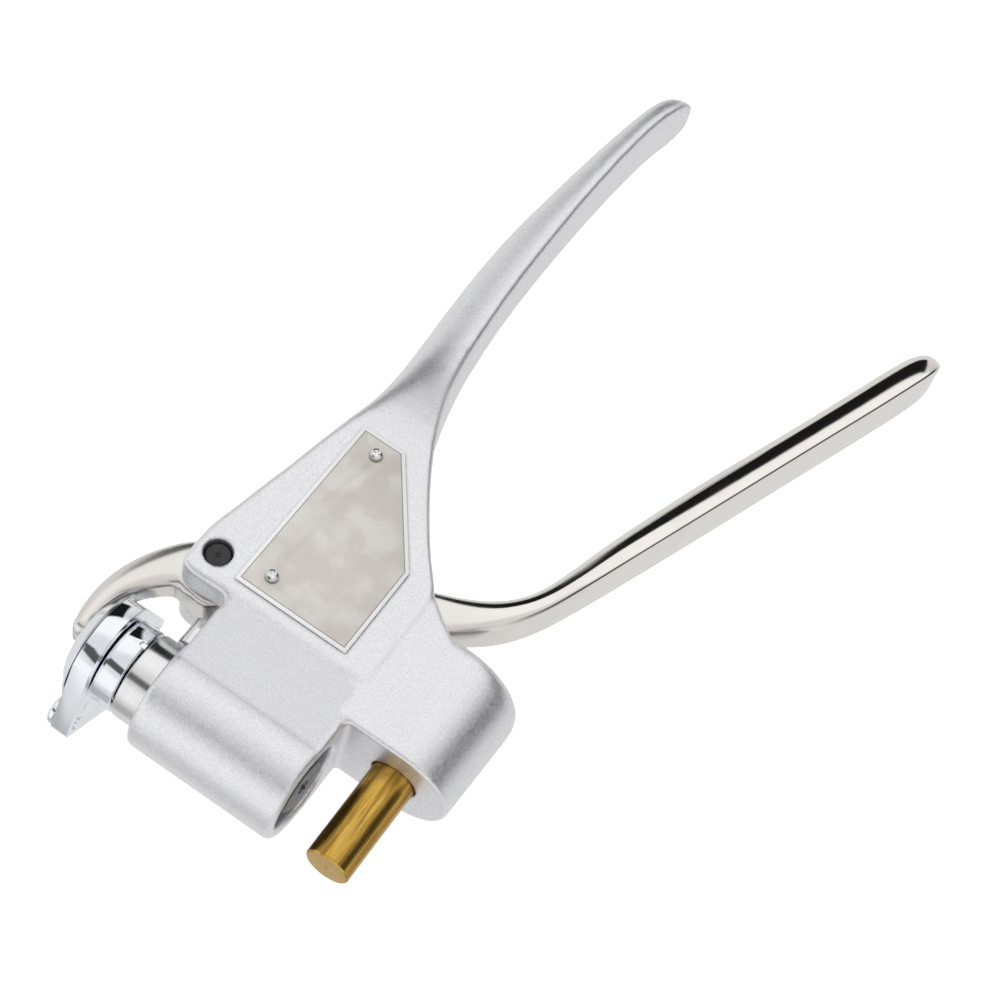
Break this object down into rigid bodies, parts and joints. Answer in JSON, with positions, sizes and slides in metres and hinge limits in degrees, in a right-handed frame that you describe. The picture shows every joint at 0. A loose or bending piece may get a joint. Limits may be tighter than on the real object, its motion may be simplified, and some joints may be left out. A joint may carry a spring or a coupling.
{
  "type": "pliers-type hardness tester",
  "caption": "Pliers-type hardness tester: a squeezed lever drives a spring-loaded penetrator in a barrel towards a round anvil post, with a sector dial behind it.",
  "frame": {"origin": "centre of the bounding box in plan, on the plane that the tool's lowest point touches when it lies name plate up", "axes": "+X along the penetrator axis towards the anvil post, +Y from the barrel to the handle tips, +Z out of the name plate"},
  "size_m": [0.1146, 0.208, 0.0359],
  "materials": {
    "cast_silver": "fine bead-blasted silver casting",
    "polished_steel": "mirror-polished stainless steel",
    "chrome_plate": "bright chrome plate",
    "ground_steel": "ground steel with turning marks",
    "spring_steel": "oiled spring wire",
    "black_oxide": "black oxide",
    "anvil_brass": "ground gold-coloured surface",
    "bush_bronze": "sintered bronze",
    "etched_plate": "warm satin field with a bright margin",
    "dial_white": "matt white enamel",
    "needle_black": "matt black",
    "clear_window": "clear window"
  },
  "bodies": {
    "frame_body": {"frame": "cast_silver", "lever_pin": "black_oxide", "anvil": "anvil_brass", "anvil_set_screw": "black_oxide", "housing_key": "ground_steel", "key_screw": "black_oxide", "name_plate": "etched_plate", "name_plate_screw_upper": "ground_steel", "name_plate_screw_lower": "ground_steel", "front_guide_ring": "black_oxide", "return_spring": "spring_steel"},
    "lever_body": {"lever": "polished_steel", "lever_bush": "bush_bronze"},
    "housing_body": {"penetrator_housing": "ground_steel", "load_adjusting_nut": "chrome_plate", "load_spring": "spring_steel", "indicator_case": "chrome_plate", "indicator_screw_left": "chrome_plate", "indicator_screw_right": "chrome_plate", "thrust_cap": "chrome_plate", "dial": "dial_white", "crystal": "clear_window"},
    "penetrator_body": {"penetrator": "ground_steel", "spring_seat": "ground_steel"},
    "pointer_body": {"pointer": "needle_black", "pointer_shaft": "ground_steel"}
  },
  "joints": [
    {"name": "lever_hinge", "type": "hinge", "parent": "frame_body", "child": "lever_body", "pos_m": [-0.03972, -0.06148, 0.02195], "axis": [0, 0, 1], "range_deg": [0, 14.8]},
    {"name": "housing_travel", "type": "slide", "parent": "frame_body", "child": "housing_body", "axis": [1, 0, 0], "range_m": [0, 0.0071], "stiffness_N_per_m": 1200, "springref_m": -0.005, "deforming": ["return_spring"]},
    {"name": "penetrator_travel", "type": "slide", "parent": "housing_body", "child": "penetrator_body", "axis": [-1, 0, 0], "range_m": [0, 0.0005], "stiffness_N_per_m": 400, "springref_m": -0.001, "deforming": ["load_spring"]},
    {"name": "pointer_hinge", "type": "hinge", "parent": "housing_body", "child": "pointer_body", "pos_m": [-0.04738, -0.08777, 0.01395], "axis": [1, 0, 0], "range_deg": [0, 70.5]}
  ],
  "couplings": [
    {"joint": "housing_travel", "follows": "lever_hinge", "m_per_rad": 0.0271}
  ]
}
